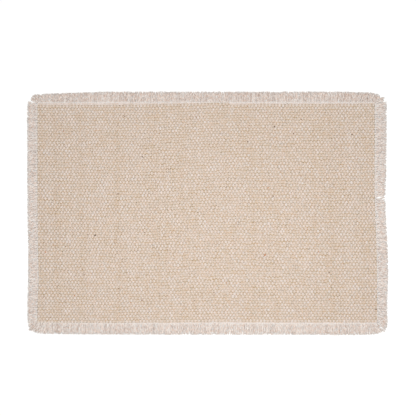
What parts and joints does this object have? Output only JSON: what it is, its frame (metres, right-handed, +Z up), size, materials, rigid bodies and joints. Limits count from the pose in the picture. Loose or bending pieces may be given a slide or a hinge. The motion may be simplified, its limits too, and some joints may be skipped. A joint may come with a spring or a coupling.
{
  "type": "fabric placemat",
  "caption": "Flat rectangular table mat of coarse woven cotton, its edges ravelled into a short fringe all round.",
  "frame": {"origin": "under the middle of the bounding box, on the surface that the mat lies on", "axes": "+X along the mat's long side (the weft), +Y along its short side (the warp) towards the back fringe, +Z up out of the cloth"},
  "size_m": [0.48, 0.3236, 0.0028],
  "materials": {
    "cloth": "matt coarse plain weave of undyed cotton with seed flecks",
    "fringe": "matt loose cotton yarn ends, opened into their plies"
  },
  "bodies": {
    "root": {"cloth": "cloth", "fringe_back": "fringe", "fringe_front": "fringe", "fringe_left": "fringe", "fringe_right": "fringe"}
  },
  "joints": []
}
